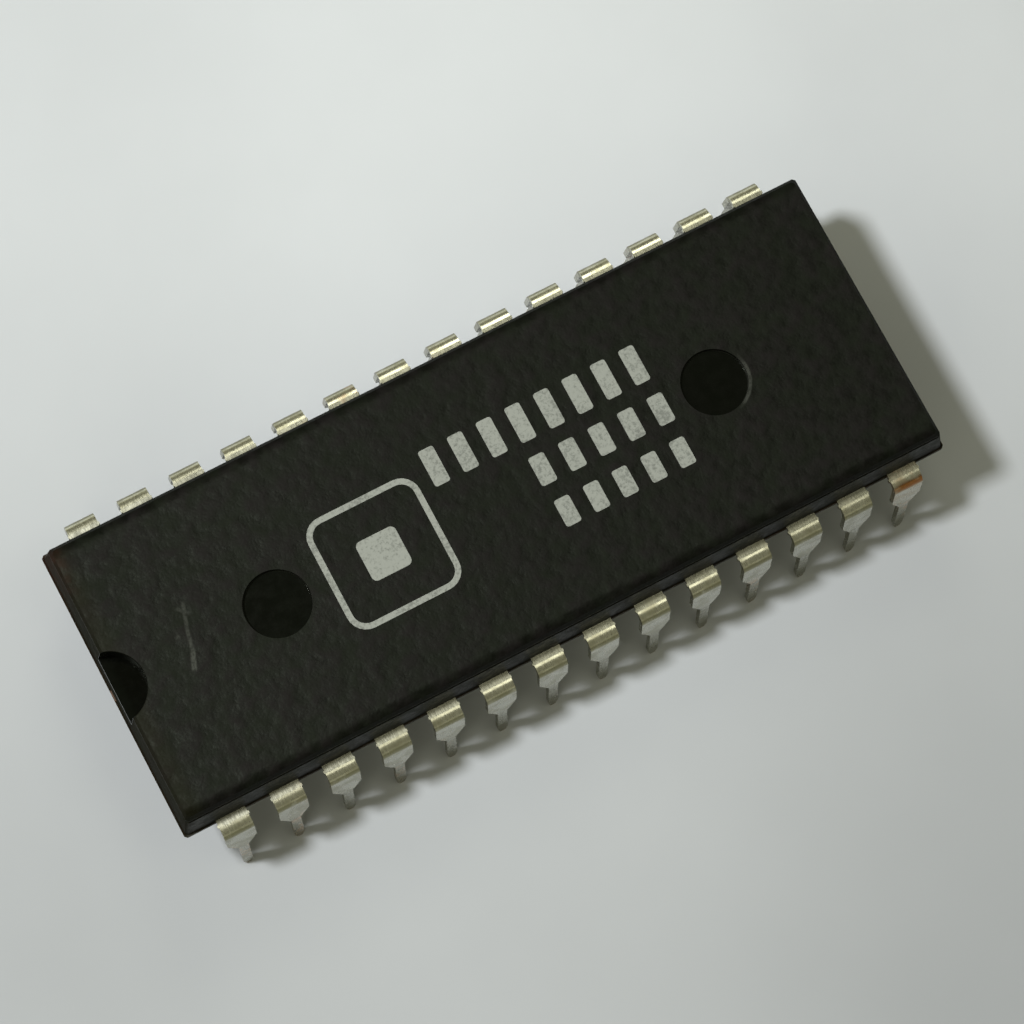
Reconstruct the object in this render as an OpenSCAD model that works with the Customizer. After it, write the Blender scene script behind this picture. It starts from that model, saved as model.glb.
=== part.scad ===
// Wide dual in-line integrated circuit, 28 leads in two rows, moulded round its lead frame.
// Millimetres. Z is 0 at the lead tips, +X runs along the body away from the notched end,
// and the origin lies under the middle of the body.

/* [Leads] */
// Distance between neighbouring leads of a row
pitch = 2.54; // [2.1:0.01:3.1]
// Distance between the two rows, measured at the bends
row_spacing = 15.24; // [12.6:0.01:18.2]
// Thickness of the lead frame's sheet
lead_t = 0.25; // [0.2:0.01:0.3]
// Width of a lead's shoulder
shoulder_w = 1.4; // [1.1:0.05:1.7]
// Width of a lead's narrow tip
tip_w = 0.46; // [0.35:0.01:0.6]
// Length of the narrow tip, from its end to the taper
tip_l = 3; // [2.4:0.1:3.6]
// Length of the taper between the tip and the shoulder
taper_l = 1; // [0.7:0.1:1.25]
// Width of the tip's cut end
tip_end_w = 0.24; // [0.15:0.01:0.34]
// Length of the point at the tip's end
tip_point_l = 0.4; // [0.3:0.05:0.6]
// Inner radius of the bend
bend_r = 0.3; // [0.2:0.01:0.38]
// Angle by which the legs splay outwards, in degrees
splay = 6; // [2:0.5:9]
// Width of the trimmed tie that stands out at the shoulder's edges
trim_w = 0.12; // [0.08:0.01:0.16]
// How far the trimmed tie stands out
trim_h = 0.05; // [0.03:0.01:0.08]

/* [Body] */
// Distance from an end lead's centre to the end of the body
end_margin = 2.18; // [1.8:0.01:2.6]
// Distance from a row of leads to the side of the body
side_setback = 0.7; // [0.58:0.01:0.84]
// Height of the body above the parting plane
upper_h = 1.95; // [1.6:0.05:2.4]
// Height of the body below the parting plane
lower_h = 1.85; // [1.5:0.05:2.3]
// Height of the body's underside above the lead tips
body_clear = 3.8; // [3.1:0.1:4.6]
// Draft of the sides and ends, in degrees
draft = 8; // [5:0.5:12]
// How far the flash rim stands out at the parting plane
rim = 0.07; // [0.04:0.01:0.1]
// Chamfer along the top and bottom edges
edge_break = 0.12; // [0.08:0.01:0.2]
// Chamfer at the four upright corners
corner_break = 0.12; // [0.08:0.01:0.2]
// Radius of the end notch
notch_r = 1.6; // [1.3:0.1:2]
// Depth of the end notch
notch_depth = 1.1; // [0.8:0.05:1.35]
// Diameter of the round ejector marks
mark_d = 3; // [2.4:0.1:3.6]
// Depth of the ejector marks
mark_depth = 0.2; // [0.1:0.02:0.3]
// Distance from an end of the body to the centre of the nearer mark
mark_setback = 8; // [6.6:0.1:9.6]

/* [Lead fingers inside the body] */
// How far the full shoulder runs into the body
embed_l = 0.45; // [0.35:0.01:0.6]
// Width of the locking neck behind it
neck_w = 0.8; // [0.6:0.05:1]
// Length of the locking neck
neck_l = 0.3; // [0.2:0.05:0.45]
// Width of the root where the finger starts
root_w = 1.2; // [0.9:0.05:1.45]
// Length of the root
root_l = 0.6; // [0.4:0.05:0.8]
// Width of a finger's inner end
finger_w = 0.3; // [0.22:0.01:0.36]
// Gap between the die pad and the fingers
finger_gap = 0.35; // [0.25:0.01:0.45]
// Distance between neighbouring finger ends along the sides of the pad
side_pitch = 0.95; // [0.8:0.01:1.15]
// Distance between neighbouring finger ends at the ends of the pad
end_pitch = 0.58; // [0.48:0.01:0.66]
// Distance from the tie bar's centre to the first finger end
end_first = 0.62; // [0.52:0.01:0.75]

/* [Die and pad] */
// Length of the die pad
pad_l = 5.6; // [4.6:0.1:6.8]
// Width of the die pad
pad_w = 5; // [4.2:0.1:6]
// Width of the tie bars that hold the pad to the ends
tie_w = 0.5; // [0.4:0.05:0.6]
// Length of the die
die_l = 3.2; // [2.6:0.1:3.9]
// Width of the die
die_w = 2.8; // [2.3:0.1:3.4]
// Thickness of the die
die_t = 0.38; // [0.3:0.01:0.46]
// Thickness of the adhesive under the die
attach_t = 0.05; // [0.04:0.005:0.07]
// How far the adhesive stands out round the die
attach_edge = 0.15; // [0.1:0.01:0.2]

/* [Bond wires] */
// Diameter of a bond wire
wire_d = 0.04; // [0.03:0.005:0.05]
// Diameter of the ball on the die
ball_d = 0.12; // [0.09:0.005:0.15]
// Height of the ball
ball_h = 0.04; // [0.03:0.005:0.06]
// Height of the loop above the die
loop_h = 0.22; // [0.16:0.01:0.3]
// Length of the loop's level run
loop_run = 0.4; // [0.3:0.02:0.5]
// How much thicker the wire is where it is kinked
kink_extra = 0.01; // [0.006:0.001:0.014]
// Width of the wedge stitched to the finger
stitch_w = 0.1; // [0.08:0.005:0.13]
// Length of the wedge's thin foot
stitch_foot = 0.12; // [0.08:0.01:0.16]
// Thickness of the foot's end
foot_t = 0.012; // [0.008:0.001:0.02]
// Distance from the finger's end to the stitch
stitch_back = 0.22; // [0.18:0.01:0.3]
// Distance from the die's edge to the balls
ball_inset = 0.16; // [0.12:0.01:0.22]
// Length of the die's edge that stays free of balls at each corner
ball_corner = 0.25; // [0.18:0.01:0.32]
// Distance from the die's centre line to the first ball at its ends
ball_end_first = 0.2; // [0.14:0.01:0.26]

/* [Hidden] */
$fn = 48;
leads_per_row = 14;
leads = 2 * leads_per_row;
// Fingers of one row that end at one end of the pad; the others end along its side
end_fingers = 4;
cut = 1;

body_l = (leads_per_row - 1) * pitch + 2 * end_margin;
body_w = row_spacing - 2 * side_setback;
z_bottom = body_clear;
z_part = z_bottom + lower_h;
z_top = z_part + upper_h;
frame_low = z_part - lead_t / 2;
frame_top = z_part + lead_t / 2;
side_y = body_w / 2;

bend_mid_r = bend_r + lead_t / 2;
bend_y = row_spacing / 2 - bend_mid_r;
leg_z = z_part - bend_mid_r * (1 - sin(splay));
// The leg's lowest edge, at its inner face, touches z = 0
leg_l = (leg_z - lead_t / 2 * sin(splay)) / cos(splay);

embed_y = side_y - embed_l;
neck_y = embed_y - neck_l;
root_y = neck_y - root_l;

die_z = frame_top + attach_t;
die_top = die_z + die_t;
wire_r = wire_d / 2;

function two_digits(n) = str(n < 10 ? "0" : "", n);
function pin_name(n) = str("pin_", two_digits(n));
function wire_name(n) = str("bond_wire_", two_digits(n));

// Each row is drawn on the +Y side, with its places counted from 0 at -X
function place_x(k) = (k - (leads_per_row - 1) / 2) * pitch;
function from_end(k) = min(k, leads_per_row - 1 - k);
function toward(k) = k < leads_per_row / 2 ? -1 : 1;

// Where the finger of place k ends, round the die pad
function finger_end(k) =
    from_end(k) < end_fingers
        ? [toward(k) * (pad_l / 2 + finger_gap), end_first + from_end(k) * end_pitch]
        : [(k - (leads_per_row - 1) / 2) * side_pitch, pad_w / 2 + finger_gap];

// Where the wire of place k leaves the die: the balls share out the edges between the corners
ball_end_pitch = (die_w / 2 - ball_end_first - ball_corner) / (end_fingers - 1);
ball_pitch = (die_l - 2 * ball_corner) / (leads_per_row - 2 * end_fingers);
function ball_place(k) =
    from_end(k) < end_fingers
        ? [toward(k) * (die_l / 2 - ball_inset), ball_end_first + from_end(k) * ball_end_pitch]
        : [(k - (leads_per_row - 1) / 2) * ball_pitch, die_w / 2 - ball_inset];

function root_place(k) = [place_x(k), root_y];
function inward(k) = (finger_end(k) - root_place(k)) / norm(finger_end(k) - root_place(k));
function stitch_place(k) = finger_end(k) - inward(k) * stitch_back;

// Outline of a moulded half section: h is the half width at the rim, and lean is 1 on a side
// or an end and the square root of 2 across a corner
function wall(h, lean, dz) = h - lean * (rim + dz * tan(draft));
function right_edge(h, lean) = [
    [wall(h, lean, lower_h - lead_t / 2) - lean * edge_break, z_bottom],
    [wall(h, lean, lower_h - lead_t / 2 - edge_break), z_bottom + edge_break],
    [wall(h, lean, 0), frame_low],
    [h, frame_low],
    [h, frame_top],
    [wall(h, lean, 0), frame_top],
    [wall(h, lean, upper_h - lead_t / 2 - edge_break), z_top - edge_break],
    [wall(h, lean, upper_h - lead_t / 2) - lean * edge_break, z_top]
];
function section(h, lean) = concat(
    right_edge(h, lean),
    [for (i = [7 : -1 : 0]) [-right_edge(h, lean)[i][0], right_edge(h, lean)[i][1]]]
);

// A section drawn out along the horizontal direction at this angle from +X
module drawn_out(h, lean, length, angle) {
    rotate([0, 0, angle])
        rotate([90, 0, 90])
            translate([0, 0, -length / 2])
                linear_extrude(length)
                    polygon(section(h, lean));
}

module body_block() {
    corner_h = (body_l / 2 + body_w / 2 - corner_break) / sqrt(2);
    reach = body_l + body_w;
    intersection() {
        drawn_out(side_y, 1, reach, 0);
        drawn_out(body_l / 2, 1, reach, 90);
        drawn_out(corner_h, sqrt(2), reach, 45);
        drawn_out(corner_h, sqrt(2), reach, -45);
    }
}

module end_notch() {
    translate([-body_l / 2, 0, z_top - notch_depth])
        cylinder(r = notch_r, h = notch_depth + cut);
}

module ejector_marks() {
    for (end = [-1, 1]) {
        x = end * (body_l / 2 - mark_setback);
        translate([x, 0, z_top - mark_depth])
            cylinder(d = mark_d, h = mark_depth + cut);
        translate([x, 0, z_bottom - cut])
            cylinder(d = mark_d, h = mark_depth + cut);
    }
}

module moulded_body() {
    color([0.14, 0.14, 0.13])
        difference() {
            body_block();
            end_notch();
            ejector_marks();
            for (k = [0 : leads_per_row - 1], turn = [0, 180])
                rotate([0, 0, turn]) {
                    flat_lead(k);
                    bond_wire(k);
                }
            die_pad();
            die_attach();
            silicon_die();
        }
}

// Flat part of the lead at place k: shoulder, locking neck, root and finger
function half_plan() = [
    [shoulder_w / 2, bend_y],
    [shoulder_w / 2 + trim_h, bend_y],
    [shoulder_w / 2 + trim_h, bend_y - trim_w],
    [shoulder_w / 2, bend_y - trim_w],
    [shoulder_w / 2, embed_y],
    [neck_w / 2, embed_y],
    [neck_w / 2, neck_y],
    [root_w / 2, neck_y],
    [root_w / 2, root_y]
];

module flat_lead(k) {
    x = place_x(k);
    side = half_plan();
    last = len(side) - 1;
    across = [-inward(k)[1], inward(k)[0]] * finger_w / 2;
    translate([0, 0, frame_low])
        linear_extrude(lead_t)
            polygon(concat(
                [for (p = side) [x + p[0], p[1]]],
                [finger_end(k) + across, finger_end(k) - across],
                [for (i = [last : -1 : 0]) [x - side[i][0], side[i][1]]]
            ));
}

// Bend, then the leg below it: shoulder, taper, narrow tip and its point
module bent_leg(k) {
    right = [
        [shoulder_w / 2, 0],
        [shoulder_w / 2, leg_l - tip_l - taper_l],
        [tip_w / 2, leg_l - tip_l],
        [tip_w / 2, leg_l - tip_point_l],
        [tip_end_w / 2, leg_l]
    ];
    translate([place_x(k), bend_y, z_part - bend_mid_r])
        rotate([0, -90, 0]) {
            rotate_extrude(angle = 90 - splay)
                translate([bend_r, -shoulder_w / 2])
                    square([lead_t, shoulder_w]);
            rotate([0, 0, 90 - splay])
                translate([bend_r, 0, 0])
                    rotate([0, 90, 0])
                        linear_extrude(lead_t)
                            polygon(concat(right, [for (i = [4 : -1 : 0]) [-right[i][0], right[i][1]]]));
        }
}

module lead(k) {
    flat_lead(k);
    bent_leg(k);
}

// Leads count anticlockwise from above, from the notched end of the -Y side
module pin(n) {
    color([0.78, 0.78, 0.72])
        if (n <= leads_per_row)
            rotate([0, 0, 180]) lead(leads_per_row - n);
        else
            lead(leads - n);
}

module die_pad() {
    color([0.74, 0.66, 0.5])
        translate([0, 0, frame_low]) {
            translate([-pad_l / 2, -pad_w / 2, 0])
                cube([pad_l, pad_w, lead_t]);
            translate([-body_l / 2, -tie_w / 2, 0])
                cube([body_l, tie_w, lead_t]);
        }
}

module die_attach() {
    color([0.6, 0.6, 0.58])
        translate([-die_l / 2 - attach_edge, -die_w / 2 - attach_edge, frame_top])
            cube([die_l + 2 * attach_edge, die_w + 2 * attach_edge, attach_t]);
}

module silicon_die() {
    color([0.35, 0.37, 0.42])
        translate([-die_l / 2, -die_w / 2, die_z])
            cube([die_l, die_w, die_t]);
}

// Ball, neck, level run and sloping span, drawn in the upright plane from the ball to the stitch
module bond_wire(k) {
    from = ball_place(k);
    to = stitch_place(k);
    run = to - from;
    length = norm(run);
    turn = atan2(run[1], run[0]);
    drop = die_top + loop_h - frame_top - wire_r;
    slope = atan2(drop, length - loop_run);
    translate([from[0], from[1], die_top])
        rotate([0, 0, turn]) {
            cylinder(d = ball_d, h = ball_h);
            cylinder(d = wire_d, h = loop_h);
            translate([0, 0, loop_h])
                rotate([0, 90, 0])
                    cylinder(d = wire_d, h = loop_run);
            translate([loop_run, 0, loop_h])
                rotate([0, 90 + slope, 0])
                    cylinder(d = wire_d, h = norm([length - loop_run, drop]));
            // Each sphere is turned so that its seam lies clear of the wire
            for (x = [0, loop_run])
                translate([x, 0, loop_h])
                    rotate([0, 0, 90])
                        sphere(d = wire_d + kink_extra);
        }
    translate([to[0], to[1], frame_top])
        rotate([0, 0, turn])
            stitch();
}

// Wedge pressed onto the finger at the wire's far end
module stitch() {
    translate([0, stitch_w / 2, 0])
        rotate([90, 0, 0])
            linear_extrude(stitch_w)
                polygon([
                    [-wire_d, 0],
                    [wire_d + stitch_foot, 0],
                    [wire_d + stitch_foot, foot_t],
                    [wire_d, wire_d],
                    [-wire_d, wire_d]
                ]);
}

module wire(n) {
    color([0.95, 0.78, 0.35])
        if (n <= leads_per_row)
            rotate([0, 0, 180]) bond_wire(leads_per_row - n);
        else
            bond_wire(leads - n);
}

moulded_body();
for (n = [1 : leads]) pin(n);
die_pad();
die_attach();
silicon_die();
for (n = [1 : leads]) wire(n);
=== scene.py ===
import math

import bmesh
import bpy
from mathutils import Matrix, Vector


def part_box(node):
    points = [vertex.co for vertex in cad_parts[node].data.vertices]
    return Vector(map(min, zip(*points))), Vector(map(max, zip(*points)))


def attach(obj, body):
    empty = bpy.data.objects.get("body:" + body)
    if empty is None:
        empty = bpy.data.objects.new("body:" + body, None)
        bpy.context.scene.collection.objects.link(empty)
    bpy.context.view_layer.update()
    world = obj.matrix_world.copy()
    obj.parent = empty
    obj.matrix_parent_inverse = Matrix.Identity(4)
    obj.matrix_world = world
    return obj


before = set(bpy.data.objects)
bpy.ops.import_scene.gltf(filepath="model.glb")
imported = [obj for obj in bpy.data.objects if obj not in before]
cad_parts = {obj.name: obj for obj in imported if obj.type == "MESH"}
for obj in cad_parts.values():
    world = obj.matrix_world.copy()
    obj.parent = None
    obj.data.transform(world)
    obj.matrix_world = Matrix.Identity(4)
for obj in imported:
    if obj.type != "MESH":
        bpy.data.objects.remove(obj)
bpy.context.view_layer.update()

MM = 0.001
BODY_LOW, BODY_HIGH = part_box("moulded_body")
BOTTOM = BODY_LOW.z
TOP = BODY_HIGH.z
HALF_L = BODY_HIGH.x
HALF_W = BODY_HIGH.y
LEAD_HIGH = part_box("pin_07")[1]
LEAD_THICK = 0.25 * MM
# The lead frame's mid plane, which is also the mould's parting plane
PARTING = LEAD_HIGH.z - LEAD_THICK / 2
MARK_X = 10.7 * MM
MARK_R = 1.5 * MM
NOTCH_R = 1.6 * MM


# Camera

IMAGE_PX = 1024
SENSOR_MM = 36.0
AZIMUTH = math.radians(-37.5)
ELEVATION = math.radians(76.3)
ROLL = math.radians(-9.8)
DISTANCE = 155 * MM
FOCAL_PX = 3545.0
CENTRE_OFF_PX = (-15.6, -9.8)
CLIP_NEAR = 0.005
CLIP_FAR = 10
UP = Vector((0, 0, 1))


def add_camera():
    back = Vector((
        math.sin(AZIMUTH) * math.cos(ELEVATION),
        -math.cos(AZIMUTH) * math.cos(ELEVATION),
        math.sin(ELEVATION),
    ))
    level = (-back).cross(UP).normalized()
    under = (-back).cross(level)
    right = math.cos(ROLL) * level + math.sin(ROLL) * under
    down = -math.sin(ROLL) * level + math.cos(ROLL) * under
    data = bpy.data.cameras.new("camera")
    data.sensor_width = SENSOR_MM
    data.lens = FOCAL_PX / IMAGE_PX * SENSOR_MM
    data.shift_x = -CENTRE_OFF_PX[0] / IMAGE_PX
    data.shift_y = CENTRE_OFF_PX[1] / IMAGE_PX
    data.clip_start = CLIP_NEAR
    data.clip_end = CLIP_FAR
    camera = bpy.data.objects.new("camera", data)
    bpy.context.scene.collection.objects.link(camera)
    turn = Matrix((right, -down, back)).transposed().to_4x4()
    target = Vector((0, 0, PARTING))
    camera.matrix_world = Matrix.Translation(target + back * DISTANCE) @ turn
    bpy.context.scene.camera = camera


# Node helpers

# Values between which nearly all of a noise lies, or its middle part only
WIDE = (0.3, 0.7)
NARROW = (0.35, 0.65)
TIGHT = (0.4, 0.6)
# A ring shows from the first of these shares of its radius, and fully from the second
RIM_FROM = 0.62
RIM_FULL = 0.92
# Sockets of the Mix node for its two colours and its result
MIX_A = 6
MIX_B = 7
MIX_RESULT = 2


class Tree:
    """A short way to build a node tree, where x, y and z are the place in this space."""

    def __init__(self, tree, space):
        self.tree = tree
        self.coords = self.add("TexCoord").outputs[space]
        split = self.add("SeparateXYZ")
        self.link(self.coords, split.inputs[0])
        self.x, self.y, self.z = split.outputs

    def add(self, kind):
        return self.tree.nodes.new("ShaderNode" + kind)

    def link(self, source, target):
        self.tree.links.new(source, target)

    def feed(self, socket, value):
        """Links a socket to the value, or sets it to a number or a colour."""
        if isinstance(value, bpy.types.NodeSocket):
            self.link(value, socket)
        elif isinstance(value, tuple):
            socket.default_value = (*value, 1)
        else:
            socket.default_value = value

    def math(self, operation, a, b=0.0, clamp=False):
        n = self.add("Math")
        n.operation = operation
        n.use_clamp = clamp
        self.feed(n.inputs[0], a)
        self.feed(n.inputs[1], b)
        return n.outputs[0]

    def chain(self, operation, values):
        """Applies an operation to the first two values, then to the result and the next."""
        result = values[0]
        for value in values[1:]:
            result = self.math(operation, result, value)
        return result

    def plus(self, *values):
        return self.chain("ADD", values)

    def minus(self, a, b):
        return self.math("SUBTRACT", a, b)

    def times(self, *values):
        return self.chain("MULTIPLY", values)

    def most(self, *values):
        return self.chain("MAXIMUM", values)

    def size(self, value):
        """The value without its sign."""
        return self.math("ABSOLUTE", value)

    def rest(self, mask):
        """What a mask leaves over."""
        return self.minus(1.0, mask)

    def band(self, value, low, high, to_low=0.0, to_high=1.0):
        """Smoothly maps value from low..high to to_low..to_high."""
        n = self.add("MapRange")
        n.interpolation_type = "SMOOTHSTEP"
        self.feed(n.inputs["Value"], value)
        n.inputs["From Min"].default_value = low
        n.inputs["From Max"].default_value = high
        n.inputs["To Min"].default_value = to_low
        n.inputs["To Max"].default_value = to_high
        return n.outputs["Result"]

    def fall(self, value, low, high):
        """1 below low, and smoothly down to 0 at high."""
        return self.band(value, low, high, 1.0, 0.0)

    def spread(self, noise, to_low=0.0, to_high=1.0, values=WIDE):
        """Maps a noise from the values it mostly has to to_low..to_high."""
        return self.band(noise, *values, to_low, to_high)

    def along(self, dx, dy, way):
        """How far an offset goes in a level direction."""
        return self.plus(self.times(dx, way[0]), self.times(dy, way[1]))

    def offset(self, x, y):
        """Offsets and distance from an upright axis."""
        dx = self.minus(self.x, x)
        dy = self.minus(self.y, y)
        squares = self.plus(self.times(dx, dx), self.times(dy, dy))
        return dx, dy, self.math("SQRT", squares)

    def seen(self):
        """1 for what is seen, directly, in a gloss or through a clear piece, and 0 as a light."""
        rays = self.add("LightPath").outputs
        kinds = ("Is Camera Ray", "Is Glossy Ray", "Is Transmission Ray")
        return self.most(*(rays[kind] for kind in kinds))


class Nodes(Tree):
    """One material's node tree."""

    def __init__(self, name):
        self.material = bpy.data.materials.new(name)
        self.material.use_nodes = True
        self.material.node_tree.nodes.clear()
        super().__init__(self.material.node_tree, "Object")
        self.shader = self.add("BsdfPrincipled")
        out = self.add("OutputMaterial")
        self.link(self.shader.outputs[0], out.inputs["Surface"])

    def set(self, name, value):
        """Links or sets one of the shader's own sockets."""
        self.feed(self.shader.inputs[name], value)

    def noise(self, size, detail=3.0, roughness=0.55, stretch=(1, 1, 1), offset=(0, 0, 0)):
        """Noise whose features are about this size in metres."""
        m = self.add("Mapping")
        m.inputs["Scale"].default_value = stretch
        m.inputs["Location"].default_value = offset
        self.link(self.coords, m.inputs["Vector"])
        n = self.add("TexNoise")
        n.inputs["Scale"].default_value = 1 / size
        n.inputs["Detail"].default_value = detail
        n.inputs["Roughness"].default_value = roughness
        self.link(m.outputs[0], n.inputs["Vector"])
        return n.outputs["Fac"]

    def mix(self, factor, a, b):
        """Blends two colours."""
        n = self.add("Mix")
        n.data_type = "RGBA"
        self.feed(n.inputs[0], factor)
        self.feed(n.inputs[MIX_A], a)
        self.feed(n.inputs[MIX_B], b)
        return n.outputs[MIX_RESULT]

    def scale(self, colour, value):
        """Multiplies a colour by a grey value."""
        grey = self.add("CombineColor")
        for i in range(3):
            self.feed(grey.inputs[i], value)
        n = self.add("Mix")
        n.data_type = "RGBA"
        n.blend_type = "MULTIPLY"
        n.inputs[0].default_value = 1
        self.feed(n.inputs[MIX_A], colour)
        self.link(grey.outputs[0], n.inputs[MIX_B])
        return n.outputs[MIX_RESULT]

    def bump(self, height, distance, strength=1.0, normal=None):
        n = self.add("Bump")
        n.inputs["Strength"].default_value = strength
        n.inputs["Distance"].default_value = distance
        self.feed(n.inputs["Height"], height)
        if normal is not None:
            self.link(normal, n.inputs["Normal"])
        return n.outputs[0]

    def round_mask(self, x, y, radius, soft):
        """1 inside an upright cylinder, 0 outside."""
        return self.fall(self.offset(x, y)[2], radius, radius + soft)

    def rim_mask(self, x, y, radius, width, soft, toward):
        """1 along the part of a ring that faces this direction, 0 away from it."""
        dx, dy, distance = self.offset(x, y)
        ring = self.fall(self.size(self.minus(distance, radius)), width / 2, width / 2 + soft)
        along = self.along(dx, dy, (math.cos(toward), math.sin(toward)))
        return self.times(ring, self.band(along, RIM_FROM * radius, RIM_FULL * radius))

    def stroke_mask(self, start, end, width, soft):
        """1 along a straight stroke on the top face, 0 away from it."""
        length = math.dist(start, end)
        ux = (end[0] - start[0]) / length
        uy = (end[1] - start[1]) / length
        dx = self.minus(self.x, start[0])
        dy = self.minus(self.y, start[1])
        along = self.along(dx, dy, (ux, uy))
        across = self.size(self.along(dx, dy, (-uy, ux)))
        first = self.band(along, -soft, soft)
        last = self.fall(along, length - soft, length + soft)
        return self.times(first, last, self.fall(across, width / 2, width / 2 + soft))


# Moulding compound

COMPOUND = (0.0036, 0.0044, 0.0027)
COMPOUND_TINT = (0.0050, 0.0038, 0.0042)
COMPOUND_MARK = (0.0020, 0.0024, 0.0016)
SIDE_PAINTED_SHADE = 0.8
NOTCH_PAINTED_SHADE = (0.0006, 0.0006, 0.0004)
PARTING_TINT = (0.026, 0.016, 0.009)
END_TINT = (0.026, 0.009, 0.005)
END_WARM = (0.010, 0.0075, 0.0015)
END_WARM_SHARE = 0.36
# Pale colour of the scratches, and of the painted highlight on one mark's rim
SCRATCH_AND_GLINT = (0.050, 0.052, 0.044)
COMPOUND_GLOSS = 0.17
COMPOUND_GLOSS_TINT = (0.92, 1.0, 0.80)

# Sizes of the patterns
FINE = 0.09 * MM
MOTTLE = 0.5 * MM
WAVES = 1.1 * MM
BROAD = 6 * MM
SEAM_PATCHES = 0.9 * MM
SCRATCH_AND_GLINT_GAPS = 0.13 * MM

# Below, a pair says where a change starts and ends, and a further pair its two values

# Heights of the level faces, of the sides between them and of the notch
TOP_FROM = (TOP - 0.4 * MM, TOP - 0.15 * MM)
BOTTOM_UP_TO = (BOTTOM + 0.15 * MM, BOTTOM + 0.4 * MM)
SIDE_FROM = (BOTTOM + 0.13 * MM, BOTTOM + 0.3 * MM)
SIDE_UP_TO = (TOP - 0.3 * MM, TOP - 0.13 * MM)
NOTCH_FROM = (TOP - 1.3 * MM, TOP - 1.2 * MM)
# Radius and soft edge of the round masks
MARK_MASK = (MARK_R - 0.04 * MM, 0.05 * MM)
NOTCH_MASK = (NOTCH_R + 0.01 * MM, 0.02 * MM)
# The flash rim: height over the parting plane, and places along and across
SEAM_HEIGHT = (0.11 * MM, 0.2 * MM)
SEAM_X = (HALF_L - 0.1 * MM, HALF_L - 0.03 * MM)
SEAM_Y = (HALF_W - 0.1 * MM, HALF_W - 0.03 * MM)
SEAM_COVER = (0.25, 1.0)
# The notched end: how far in its notch's floor is painted lighter, with painted shade further in,
# and how far its warm and red tones reach
OPEN_END = (-HALF_L + 0.35 * MM, -HALF_L + 0.75 * MM)
WARM_END = (-HALF_L + 0.6 * MM, -HALF_L + 1.5 * MM)
RED_END = (-HALF_L + 0.45 * MM, -HALF_L + 1.0 * MM)
RED_CORNER = (HALF_W - 3.5 * MM, HALF_W - 0.8 * MM)
RED_COVER = (0.35, 0.6, 0.2, 0.6)
# The end walls begin at the corners
END_WALL = (-0.1 * MM, 0.1 * MM)

# What the patterns do to the tone and to the roughness
FINE_TONE = (-0.12, 0.12)
MOTTLE_TONE = (0.50, 1.50)
BROAD_TONE = (0.92, 1.08)
FINE_ROUGH = (-0.04, 0.04)
MOTTLE_ROUGH = (0.52, 0.68)
# How much smoother or rougher the walls are, and the share that marks and notch lose
LONG_WALL_SMOOTHER = 0.08
END_WALL_ROUGHER = 0.38
MARK_SMOOTHER = 0.76

# Relief: shares of the patterns, how it lessens along the body, and depths
GRAIN_FINE = 0.35
GRAIN_MOTTLE = 2.0
GRAIN_WAVES = 2.2
GRAIN_ALONG = (-15 * MM, 15 * MM, 0.9, 0.75)
GRAIN_DEEP = 0.03 * MM
SCRATCH_AND_GLINT_RELIEF = (0.01 * MM, 0.4)
# How far in from the rim the top's flat ends, and how wide and deep its roll-off is
TOP_EDGE_IN = 0.42 * MM
ROLL_OFF = 0.5 * MM
ROLL_DEEP = 0.24 * MM

# Strokes of the scratch: start, end, width, strength, in millimetres
SCRATCHES = [
    ((-14.27, 1.90), (-14.62, 0.78), 0.05, 0.6),
    ((-14.62, 0.80), (-14.84, -0.20), 0.05, 0.7),
    ((-14.82, -0.15), (-15.16, -0.97), 0.10, 1.0),
    ((-14.66, 1.80), (-14.22, 1.34), 0.05, 0.4),
    ((-15.16, 0.70), (-15.10, 0.58), 0.09, 0.5),
]
STROKE_SOFT = 0.11 * MM
SCRATCH_AND_GLINT_COVER = (0.35, 0.6, 0.45, 1.0)
# A painted highlight along the rim of the mark away from the notch, on the side it faces
RIM_GLINT_R = MARK_R + 0.06 * MM
RIM_GLINT_WIDTH = 0.07 * MM
RIM_GLINT_SOFT = 0.08 * MM
RIM_GLINT_TOWARD = math.radians(-25)
RIM_GLINT_SHARE = 0.85


def scratch_and_glint_mask(n, high):
    """The scratch near the notch, and a painted highlight along the rim of the mark at the other
    end, on the top only.
    """
    masks = []
    for start, end, width, strength in SCRATCHES:
        a = (start[0] * MM, start[1] * MM)
        b = (end[0] * MM, end[1] * MM)
        masks.append(n.times(n.stroke_mask(a, b, width * MM, STROKE_SOFT), strength))
    rim_glint = n.rim_mask(MARK_X, 0, RIM_GLINT_R, RIM_GLINT_WIDTH, RIM_GLINT_SOFT, RIM_GLINT_TOWARD)
    masks.append(n.times(rim_glint, RIM_GLINT_SHARE))
    gaps = n.noise(SCRATCH_AND_GLINT_GAPS, detail=2.0, offset=(0.7, 0, 0))
    return n.times(n.most(*masks), n.band(gaps, *SCRATCH_AND_GLINT_COVER), high)


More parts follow.
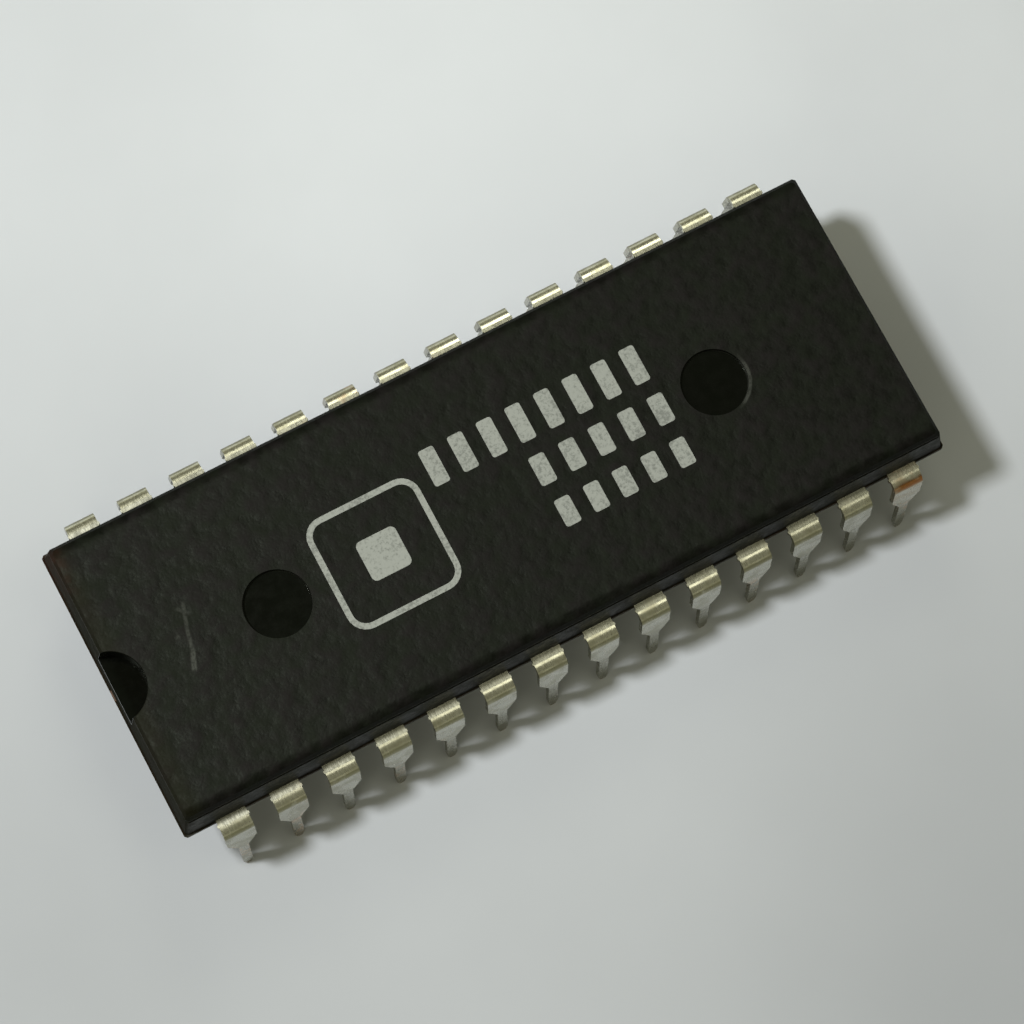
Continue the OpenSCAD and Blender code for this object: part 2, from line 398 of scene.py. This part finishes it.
def moulding_compound():
    n = Nodes("moulding_compound")
    fine = n.noise(FINE, detail=2.0, roughness=0.6)
    mottle = n.noise(MOTTLE, detail=2.0, roughness=0.5)
    waves = n.noise(WAVES, detail=1.0, offset=(0.2, 0.5, 0))
    broad = n.noise(BROAD, detail=2.0)
    tone = n.plus(n.spread(fine, *FINE_TONE), n.spread(mottle, *MOTTLE_TONE))
    tone = n.times(tone, n.spread(broad, *BROAD_TONE))
    colour = n.scale(n.mix(n.spread(waves, values=NARROW), COMPOUND, COMPOUND_TINT), tone)

    high = n.band(n.z, *TOP_FROM)
    level = n.math("ADD", high, n.fall(n.z, *BOTTOM_UP_TO), clamp=True)
    marks = n.most(n.round_mask(MARK_X, 0, *MARK_MASK), n.round_mask(-MARK_X, 0, *MARK_MASK))
    marks = n.times(marks, level)
    notch = n.times(n.round_mask(-HALF_L, 0, *NOTCH_MASK), n.band(n.z, *NOTCH_FROM))
    smooth = n.most(marks, notch)
    sides = n.times(n.fall(n.z, *SIDE_UP_TO), n.band(n.z, *SIDE_FROM), n.rest(smooth))
    colour = n.mix(marks, colour, COMPOUND_MARK)
    # The notch's floor is painted shade: very dark inside, and painted lighter towards its open
    # end
    notch_shade = n.mix(n.fall(n.x, *OPEN_END), NOTCH_PAINTED_SHADE, COMPOUND_MARK)
    colour = n.mix(notch, colour, notch_shade)
    # The side walls are painted darker than the level faces: painted shade
    colour = n.mix(sides, colour, n.scale(colour, SIDE_PAINTED_SHADE))

    seam = n.fall(n.size(n.minus(n.z, PARTING)), *SEAM_HEIGHT)
    outside = n.most(n.band(n.size(n.x), *SEAM_X), n.band(n.size(n.y), *SEAM_Y))
    patches = n.noise(SEAM_PATCHES, detail=3.0, offset=(0.3, 0.1, 0))
    seam = n.times(seam, outside, n.spread(patches, *SEAM_COVER, NARROW))
    colour = n.mix(seam, colour, PARTING_TINT)
    # The notched end is a little warmer, and stained reddish brown towards its +Y corner
    warm = n.times(n.fall(n.x, *WARM_END), n.rest(notch), END_WARM_SHARE)
    colour = n.mix(warm, colour, END_WARM)
    corner = n.times(n.fall(n.x, *RED_END), n.band(n.y, *RED_CORNER))
    colour = n.mix(n.times(corner, n.band(mottle, *RED_COVER)), colour, END_TINT)
    # Real scratches, and a painted highlight on the rim of the mark away from the notch, both in
    # the pale colour
    scratch_and_glint = scratch_and_glint_mask(n, high)
    n.set("Base Color", n.mix(scratch_and_glint, colour, SCRATCH_AND_GLINT))

    rough = n.plus(n.spread(mottle, *MOTTLE_ROUGH), n.spread(fine, *FINE_ROUGH))
    past_corner = n.minus(n.minus(n.size(n.x), HALF_L), n.minus(n.size(n.y), HALF_W))
    end_side = n.times(sides, n.band(past_corner, *END_WALL))
    rough = n.minus(rough, n.times(n.minus(sides, end_side), LONG_WALL_SMOOTHER))
    rough = n.plus(rough, n.times(end_side, END_WALL_ROUGHER))
    n.set("Roughness", n.times(rough, n.rest(n.times(smooth, MARK_SMOOTHER))))
    n.set("Specular IOR Level", COMPOUND_GLOSS)
    n.set("Specular Tint", COMPOUND_GLOSS_TINT)

    # The top rolls off a little towards its two long edges
    roll = n.minus(n.size(n.y), HALF_W - TOP_EDGE_IN - ROLL_OFF)
    roll = n.math("DIVIDE", n.most(roll, 0.0), ROLL_OFF)
    roll = n.bump(n.times(roll, roll, high, -1.0), ROLL_DEEP)
    grain = n.plus(n.times(fine, GRAIN_FINE), n.times(mottle, GRAIN_MOTTLE),
                   n.times(waves, GRAIN_WAVES))
    grain = n.times(grain, n.rest(smooth), n.band(n.x, *GRAIN_ALONG))
    grain = n.bump(grain, GRAIN_DEEP, normal=roll)
    n.set("Normal", n.bump(n.times(scratch_and_glint, -1.0), *SCRATCH_AND_GLINT_RELIEF, grain))
    return n.material


# Tinned leads

TIN = (0.84, 0.83, 0.68)
TIN_DULL = (0.64, 0.62, 0.46)
BEND_PAINTED_REFLECTION = (0.23, 0.215, 0.12)
BARE_EDGE = (0.30, 0.17, 0.09)
BARE_EDGE_SHARE = 0.6
STAIN = (0.56, 0.38, 0.24)
STAIN_DEEP = (0.30, 0.13, 0.04)

# Sizes of the patterns
STREAK = 0.35 * MM
STREAK_STRETCH = (5, 1.2, 1.2)
CLOUD = 0.7 * MM
PITS = 0.07 * MM
STAINED_LEADS = 4.5 * MM
STAIN_SPOTS = 0.45 * MM

DULL_FROM = (0.4, 0.7)
STREAK_TONE = (0.9, 1.04)
# Painted shade by height on the legs and on their tips, and painted shadow of the body across
# where the flats leave it
LEG_PAINTED_SHADE = (5.0 * MM, 5.6 * MM, 0.54, 1.0)
TIP_PAINTED_SHADE = (2.6 * MM, 3.6 * MM, 0.8, 1.0)
ROOT_PAINTED_SHADOW = (HALF_W + 0.02 * MM, HALF_W + 0.2 * MM, 0.55, 1.0)
CUT_UP_TO = (0.0, 0.22 * MM)
# Heights of the bend's outer half with its painted dark reflection, and of its deep stain on the
# last lead
BEND_FROM = (5.1 * MM, 5.35 * MM)
BEND_UP_TO = (5.54 * MM, 5.68 * MM)
BEND_COVER = (0.25, 0.5, 0.7, 1.0)
DEEP_FROM = (5.2 * MM, 5.45 * MM)
DEEP_UP_TO = (5.62 * MM, 5.74 * MM)
DEEP_COVER = (0.3, 0.55, 0.5, 1.0)
# Place of the last lead of the front row, down to where its stain ends
LAST_X = (15.4 * MM, 15.8 * MM)
LAST_Y = (-7.0 * MM, -6.5 * MM)
LAST_Z = (3.2 * MM, 4.6 * MM)
LAST_COVER = (0.35, 0.6, 0.04, 0.22)
# The few other leads with stains, and the spots on them
FEW_LEADS = (0.56, 0.66)
FEW_SPOTS = (0.45, 0.65)
FEW_SHARE = 0.6

CLOUD_ROUGH = (0.22, 0.32)
STREAK_ROUGH = (-0.02, 0.03)
STREAK_SHARE = 0.8
PITS_SHARE = 0.08
# Relief: depth and strength
TIN_RELIEF = (0.006 * MM, 0.09)


def tinned_lead():
    n = Nodes("tinned_lead")
    streak = n.noise(STREAK, detail=3.0, stretch=STREAK_STRETCH)
    cloud = n.noise(CLOUD, detail=4.0, roughness=0.6)
    pits = n.noise(PITS, detail=2.0)
    colour = n.mix(n.band(cloud, *DULL_FROM), TIN, TIN_DULL)
    colour = n.scale(colour, n.spread(streak, *STREAK_TONE))
    # The legs are painted darker than the flats as painted shade, and the outer half of the bend
    # darkest as a painted dark reflection
    colour = n.scale(colour, n.band(n.z, *LEG_PAINTED_SHADE))
    colour = n.scale(colour, n.band(n.z, *TIP_PAINTED_SHADE))
    painted_bend_reflection = n.times(n.fall(n.z, *BEND_UP_TO), n.band(n.z, *BEND_FROM))
    painted_bend_reflection = n.times(painted_bend_reflection, n.band(cloud, *BEND_COVER))
    colour = n.mix(painted_bend_reflection, colour, BEND_PAINTED_REFLECTION)
    # Painted shadow of the body on the flats just where they leave it
    colour = n.scale(colour, n.band(n.size(n.y), *ROOT_PAINTED_SHADOW))
    colour = n.mix(n.times(n.fall(n.z, *CUT_UP_TO), BARE_EDGE_SHARE), colour, BARE_EDGE)
    # Brown stains: a few leads carry a little, and the last lead of the front row the most
    leads = n.noise(STAINED_LEADS, detail=1.0, offset=(0.021, 0.004, 0))
    spots = n.noise(STAIN_SPOTS, detail=2.0)
    few = n.times(n.band(leads, *FEW_LEADS), n.band(spots, *FEW_SPOTS), FEW_SHARE)
    last = n.times(n.fall(n.y, *LAST_Y), n.band(n.z, *LAST_Z), n.band(n.x, *LAST_X))
    stain = n.most(few, n.times(last, n.band(cloud, *LAST_COVER)))
    colour = n.mix(stain, colour, STAIN)
    deep = n.times(n.fall(n.z, *DEEP_UP_TO), n.band(n.z, *DEEP_FROM), last)
    colour = n.mix(n.times(deep, n.band(cloud, *DEEP_COVER)), colour, STAIN_DEEP)
    n.set("Base Color", colour)
    n.set("Metallic", 1.0)
    n.set("Roughness", n.plus(n.spread(cloud, *CLOUD_ROUGH), n.spread(streak, *STREAK_ROUGH)))
    relief = n.plus(n.times(streak, STREAK_SHARE), n.times(pits, PITS_SHARE))
    n.set("Normal", n.bump(relief, *TIN_RELIEF))
    return n.material


# Pieces inside the body

PAD = (0.62, 0.40, 0.26)
PAD_STAIN = (0.50, 0.30, 0.18)
PAD_TARNISH = (0.10, 0.065, 0.045)
PAD_ROLLED = 0.3 * MM
PAD_CLOUD = 1.5 * MM
PAD_TONE = (0.88, 1.05)
PAD_ROUGH = (0.28, 0.42)
PAD_RELIEF = (0.006 * MM, 0.4)
CUT_END_FROM = (HALF_L - 0.3 * MM, HALF_L - 0.1 * MM)
CUT_END_ROUGHER = 0.25

ADHESIVE = (0.36, 0.36, 0.34)
FLAKES = (0.55, 0.55, 0.52)
FLAKE = 0.05 * MM
FLAKE_ROUGH = (0.6, 0.4)
FLAKE_RELIEF = (0.004 * MM, 0.5)

DIE_BLUE = (0.10, 0.12, 0.20)
DIE_RED = (0.22, 0.16, 0.24)
DIE_SHEEN = 0.9 * MM
DIE_BLOCKS = 0.12 * MM
DIE_TONE = (0.8, 1.1)
DIE_METAL = 0.8
DIE_ROUGH = (0.1, 0.2)

GOLD = (0.90, 0.62, 0.20)
GOLD_PALE = (0.98, 0.74, 0.32)
GOLD_DRAWN = 0.03 * MM
GOLD_ROUGH = (0.18, 0.3)


def lead_frame_pad():
    n = Nodes("lead_frame_pad")
    rolled = n.noise(PAD_ROLLED, detail=4.0, stretch=(1, 12, 1))
    stain = n.noise(PAD_CLOUD, detail=3.0)
    colour = n.mix(n.spread(stain, values=NARROW), PAD, PAD_STAIN)
    colour = n.scale(colour, n.spread(rolled, *PAD_TONE))
    # The tie bars' cut ends, which show at the body's ends, are tarnished
    cut_end = n.band(n.size(n.x), *CUT_END_FROM)
    n.set("Base Color", n.mix(cut_end, colour, PAD_TARNISH))
    n.set("Metallic", 1.0)
    n.set("Roughness", n.plus(n.spread(rolled, *PAD_ROUGH), n.times(cut_end, CUT_END_ROUGHER)))
    n.set("Normal", n.bump(rolled, *PAD_RELIEF))
    return n.material


def die_adhesive():
    n = Nodes("die_adhesive")
    flakes = n.noise(FLAKE, detail=3.0, roughness=0.7)
    n.set("Base Color", n.mix(n.spread(flakes, values=TIGHT), ADHESIVE, FLAKES))
    n.set("Roughness", n.spread(flakes, *FLAKE_ROUGH, TIGHT))
    n.set("Normal", n.bump(flakes, *FLAKE_RELIEF))
    return n.material


def silicon():
    n = Nodes("silicon")
    sheen = n.noise(DIE_SHEEN, detail=3.0)
    blocks = n.noise(DIE_BLOCKS, detail=1.0, stretch=(1, 3, 1))
    colour = n.mix(n.spread(sheen, values=NARROW), DIE_BLUE, DIE_RED)
    n.set("Base Color", n.scale(colour, n.spread(blocks, *DIE_TONE, TIGHT)))
    n.set("Metallic", DIE_METAL)
    n.set("Roughness", n.spread(blocks, *DIE_ROUGH))
    return n.material


def gold_wire():
    n = Nodes("gold_wire")
    drawn = n.noise(GOLD_DRAWN, detail=2.0)
    n.set("Base Color", n.mix(n.spread(drawn, values=NARROW), GOLD, GOLD_PALE))
    n.set("Metallic", 1.0)
    n.set("Roughness", n.spread(drawn, *GOLD_ROUGH))
    return n.material


# Marking: plain generic shapes in the places of the print

INK = (0.33, 0.345, 0.305)
INK_THIN = (0.20, 0.21, 0.185)
INK_COVER = 0.14 * MM
INK_BROAD = 1.4 * MM
INK_BROAD_SHARE = 0.35
INK_WORN = (0.62, 0.86)
INK_ROUGH = (0.55, 0.75)
INK_GLOSS = 0.3
INK_RELIEF = (0.004 * MM, 0.5)
INK_THICK = 0.008 * MM
# A square frame with a square in it: centre and side, in millimetres
FRAME_SHAPE = (-5.65, -0.15, 5.4)
FRAME_LINE = 0.27
FRAME_CORNER = 0.9
FRAME_INNER = 1.9
INNER_CORNER = 0.25
# Rows of plain blocks: first x, last x, centre y, height, number, millimetres
ROWS = [
    (-2.30, 8.30, 2.28, 1.75, 8),
    (1.80, 8.40, 0.00, 1.4, 5),
    (1.90, 8.30, -2.13, 1.3, 5),
]
BLOCK_SHARE = 0.52
BLOCK_CORNER = 0.12
# Steps round each corner
FRAME_STEPS = 6
BLOCK_STEPS = 3


def marking_ink():
    n = Nodes("marking_ink")
    cover = n.noise(INK_COVER, detail=4.0, roughness=0.7)
    broad = n.noise(INK_BROAD, detail=2.0)
    thin = n.band(n.plus(cover, n.times(broad, INK_BROAD_SHARE)), *INK_WORN)
    n.set("Base Color", n.mix(thin, INK, INK_THIN))
    n.set("Roughness", n.spread(cover, *INK_ROUGH))
    n.set("Specular IOR Level", INK_GLOSS)
    n.set("Normal", n.bump(cover, *INK_RELIEF))
    return n.material


def rounded(cx, cy, w, h, r, steps=FRAME_STEPS):
    """Outline of a rounded rectangle, anticlockwise, in millimetres."""
    points = []
    for sx, sy, start in ((1, 1, 0), (-1, 1, 90), (-1, -1, 180), (1, -1, 270)):
        for i in range(steps + 1):
            a = math.radians(start + 90 * i / steps)
            x = cx + sx * (w / 2 - r) + r * math.cos(a)
            y = cy + sy * (h / 2 - r) + r * math.sin(a)
            points.append((x, y))
    return points


def add_slab(bm, outline, hole=None):
    """Adds a closed slab of ink with this outline, and with a hole of as many points."""
    def ring(points, z):
        return [bm.verts.new((x * MM, y * MM, z)) for x, y in points]

    low, high = ring(outline, TOP), ring(outline, TOP + INK_THICK)
    sides = [(i, (i + 1) % len(outline)) for i in range(len(outline))]
    for i, j in sides:
        bm.faces.new((low[i], low[j], high[j], high[i]))
    if hole is None:
        bm.faces.new(high)
        bm.faces.new(low[::-1])
        return
    low_in, high_in = ring(hole, TOP), ring(hole, TOP + INK_THICK)
    for i, j in sides:
        bm.faces.new((low_in[j], low_in[i], high_in[i], high_in[j]))
        bm.faces.new((high[i], high[j], high_in[j], high_in[i]))
        bm.faces.new((low[j], low[i], low_in[i], low_in[j]))


def add_marking(material):
    bm = bmesh.new()
    cx, cy, side = FRAME_SHAPE
    inside = side - 2 * FRAME_LINE
    add_slab(bm, rounded(cx, cy, side, side, FRAME_CORNER),
             rounded(cx, cy, inside, inside, FRAME_CORNER - FRAME_LINE))
    add_slab(bm, rounded(cx, cy, FRAME_INNER, FRAME_INNER, INNER_CORNER))
    for x0, x1, y, height, count in ROWS:
        pitch = (x1 - x0) / (count - 1 + BLOCK_SHARE)
        width = pitch * BLOCK_SHARE
        for i in range(count):
            x = x0 + width / 2 + i * pitch
            add_slab(bm, rounded(x, y, width, height, BLOCK_CORNER, BLOCK_STEPS))
    mesh = bpy.data.meshes.new("top_marking")
    bm.to_mesh(mesh)
    bm.free()
    obj = bpy.data.objects.new("top_marking", mesh)
    bpy.context.scene.collection.objects.link(obj)
    mesh.materials.append(material)
    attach(obj, "root")


# CAD nodes

def dress_cad():
    """Gives every CAD node the material of its kind, which is its name without a number."""
    materials = {
        "moulded_body": moulding_compound(),
        "pin": tinned_lead(),
        "die_pad": lead_frame_pad(),
        "die_attach": die_adhesive(),
        "silicon_die": silicon(),
        "bond_wire": gold_wire(),
    }
    for name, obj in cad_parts.items():
        material = materials[name.rstrip("_0123456789")]
        for s in obj.material_slots:
            s.material = material


# Floor

FLOOR = (0.555, 0.575, 0.588)
FLOOR_SIZE = 6
FLOOR_CLOUD = 9 * MM
FLOOR_CLOUD_TONE = (0.985, 1.01)
FLOOR_ROUGH = 0.9
FLOOR_GLOSS = 0.1
# The level direction in which the sheet is painted paler, as painted light, and the one to the
# right of it
PALER = (0.46, 0.888)
PALER_RIGHT = (PALER[1], -PALER[0])
# Painted light towards the back, and painted shade towards the left and the right
AWAY_PAINTED_LIGHT = (-24 * MM, 22 * MM, 0.885, 1.265)
LEFT_PAINTED_SHADE = (-20 * MM, -4 * MM, 0.955, 1.06)
RIGHT_PAINTED_SHADE = (4 * MM, 22 * MM, 0.0, 0.17)
RIGHT_NEARER = (2 * MM, 22 * MM, 1.0, 0.35)
BACKDROP = (0.96, 1.0, 0.98)
FAR_GLOW = 0.52
FAR = (35 * MM, 230 * MM, 0.0, FAR_GLOW)


def add_floor():
    n = Nodes("floor_paper")
    # Painted light and shade: the sheet is painted a little paler behind the part than in front
    # of it, and darker to both sides
    away = n.along(n.x, n.y, PALER)
    across = n.along(n.x, n.y, PALER_RIGHT)
    painted_light = n.times(n.band(away, *AWAY_PAINTED_LIGHT), n.band(across, *LEFT_PAINTED_SHADE))
    right = n.times(n.band(across, *RIGHT_PAINTED_SHADE), n.band(away, *RIGHT_NEARER))
    cloud = n.spread(n.noise(FLOOR_CLOUD, detail=3.0), *FLOOR_CLOUD_TONE)
    n.set("Base Color", n.scale(FLOOR, n.times(painted_light, n.rest(right), cloud)))
    n.set("Roughness", FLOOR_ROUGH)
    n.set("Specular IOR Level", FLOOR_GLOSS)
    # Far from the part, where the lamps no longer reach, the sheet keeps its pale tone
    far = n.band(n.offset(0, 0)[2], *FAR)
    n.set("Emission Color", BACKDROP)
    n.set("Emission Strength", n.times(far, n.seen()))
    bpy.ops.mesh.primitive_plane_add(size=FLOOR_SIZE, location=(0, 0, 0))
    floor = bpy.context.object
    floor.name = "floor"
    floor.data.materials.append(n.material)


# Lights and world

# Name, way and distance in millimetres, angle across in degrees, share of light, colour
LAMPS = [
    ("lamp", (-102.0, 47.0, 230.0), 7.6, 0.725, (0.96, 0.98, 1.0)),
    ("fill_back", (24.0, 67.0, 96.0), 20.0, 0.074, (1.0, 0.99, 0.82)),
    ("fill_front", (21.6, -27.0, 145.0), 18.0, 0.039, (1.0, 0.98, 0.80)),
    ("fill_left", (-95.0, -80.0, 90.0), 30.0, 0.055, (1.0, 0.98, 0.80)),
]
WORLD = (1.0, 0.985, 0.72)
# How steep a direction rises, from 0 for level to 1 for upright
ROOM = (0.05, 0.6, 0.075, 0.17)
HORIZON_UP_TO = (0.03, 0.35)


def add_lamp(name, place, degrees, share, colour):
    """share is what the lamp adds to a white floor under it, where 1 renders as white."""
    offset = Vector(place) * MM
    distance = offset.length
    toward = offset.normalized()
    data = bpy.data.lights.new(name, "AREA")
    data.shape = "DISK"
    data.size = 2 * distance * math.tan(math.radians(degrees / 2))
    data.energy = share * (math.pi * distance) ** 2 / toward.z
    data.color = colour
    lamp = bpy.data.objects.new(name, data)
    bpy.context.scene.collection.objects.link(lamp)
    lamp.location = Vector((0, 0, PARTING)) + offset
    lamp.rotation_euler = toward.to_track_quat("Z", "Y").to_euler()


def add_world():
    """A dim room. What is seen of it near the horizon is as pale as the far sheet."""
    world = bpy.data.worlds.new("studio")
    world.use_nodes = True
    n = Tree(world.node_tree, "Generated")
    shown = n.add("Mix")
    n.feed(shown.inputs["Factor"], n.times(n.seen(), n.fall(n.z, *HORIZON_UP_TO)))
    n.feed(shown.inputs["A"], n.band(n.z, *ROOM))
    n.feed(shown.inputs["B"], FAR_GLOW)
    back = n.tree.nodes["Background"]
    n.feed(back.inputs["Color"], WORLD)
    n.feed(back.inputs["Strength"], shown.outputs["Result"])
    bpy.context.scene.world = world


add_camera()
dress_cad()
add_marking(marking_ink())
add_floor()
for lamp in LAMPS:
    add_lamp(*lamp)
add_world()
bpy.context.scene.view_settings.view_transform = "Standard"
